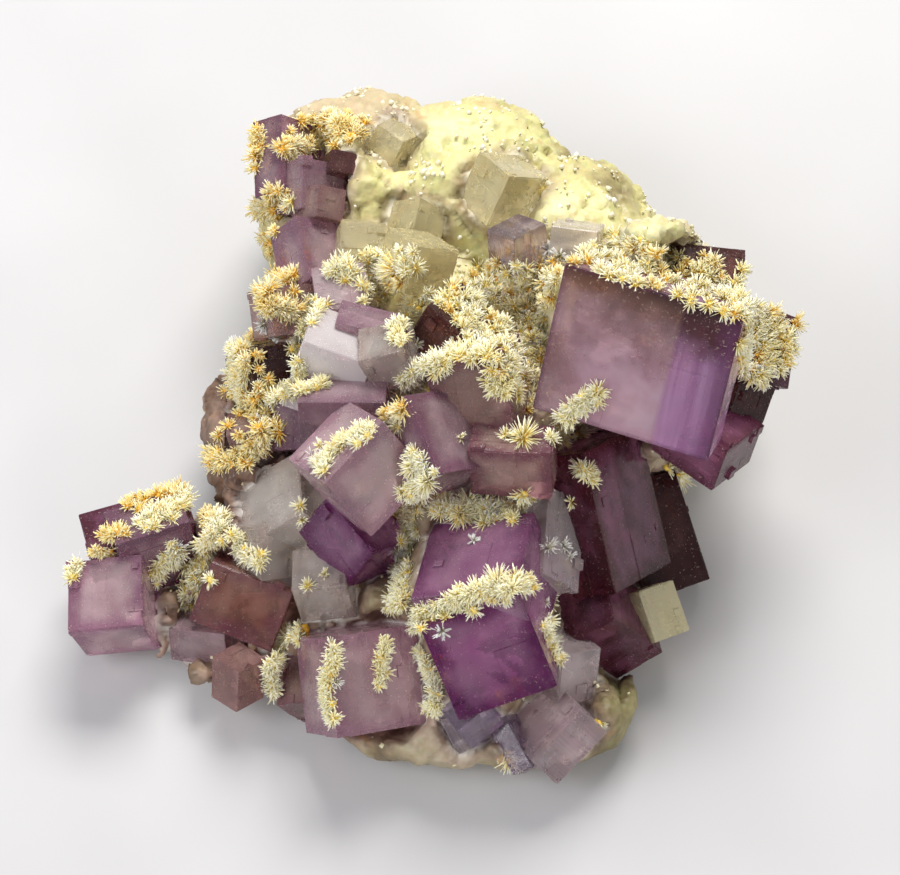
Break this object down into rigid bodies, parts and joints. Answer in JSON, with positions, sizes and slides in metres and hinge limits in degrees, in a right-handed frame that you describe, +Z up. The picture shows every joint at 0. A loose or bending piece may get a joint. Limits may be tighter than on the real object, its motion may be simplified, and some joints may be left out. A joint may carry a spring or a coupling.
{
  "type": "fluorite specimen",
  "caption": "Hand-sized mineral specimen: purple see-through fluorite cubes on a pale lumpy matrix, with crusts and sprays of cream and gold needles; rests on its flat sawn underside.",
  "frame": {"origin": "middle of the flat sawn underside, at the centre of the bounding box in plan", "axes": "+Z up out of the underside, +Y from the crystal-covered front towards the bare pale top of the matrix, +X towards the large cube's side"},
  "size_m": [0.0934, 0.0958, 0.0475],
  "materials": {
    "fluorite": "see-through purple crystal with frosted, finely stepped faces",
    "pale_crystal": "see-through grey, beige and colourless crystal, slightly frosted",
    "matrix": "dull, sugary pale yellow to grey-beige rock",
    "needles": "silky fine needles, gold at the root and cream to white at the tip"
  },
  "bodies": {
    "root": {"large_fluorite_cube": "fluorite", "right_fluorite_group": "fluorite", "front_fluorite_group": "fluorite", "centre_fluorite_group": "fluorite", "lower_left_fluorite_pair": "fluorite", "top_left_fluorite_group": "fluorite", "upper_left_fluorite_group": "fluorite", "upper_pale_fluorite": "pale_crystal", "arm_fluorite_group": "fluorite", "low_beige_crystal": "pale_crystal", "small_clear_fluorite": "pale_crystal", "small_grey_crystal": "pale_crystal", "beige_crystal": "pale_crystal", "grey_beige_crystal": "pale_crystal", "olive_grey_crystal": "pale_crystal", "matrix": "matrix", "upper_right_needles": "needles", "upper_right_needles_2": "needles", "upper_right_needles_3": "needles", "upper_right_needles_4": "needles", "centre_field_needles": "needles", "centre_field_needles_2": "needles", "centre_field_needles_3": "needles", "centre_field_needles_4": "needles", "centre_field_needles_5": "needles", "centre_field_needles_6": "needles", "centre_field_needles_7": "needles", "large_cube_foot_needles": "needles", "large_cube_foot_needles_2": "needles", "centre_column_needles": "needles", "centre_column_needles_2": "needles", "centre_column_needles_3": "needles", "middle_band_needles": "needles", "front_band_needles": "needles", "front_left_needles": "needles", "lower_left_needles": "needles", "lower_left_needles_2": "needles", "lower_left_needles_3": "needles", "front_right_needles": "needles", "arm_needles": "needles", "arm_needles_2": "needles", "arm_needles_3": "needles", "arm_needles_4": "needles", "left_edge_needles": "needles", "left_edge_needles_2": "needles", "left_inner_needles": "needles", "middle_left_needles": "needles", "upper_left_edge_needles": "needles", "top_left_needles": "needles", "upper_field_needles": "needles"}
  },
  "joints": []
}
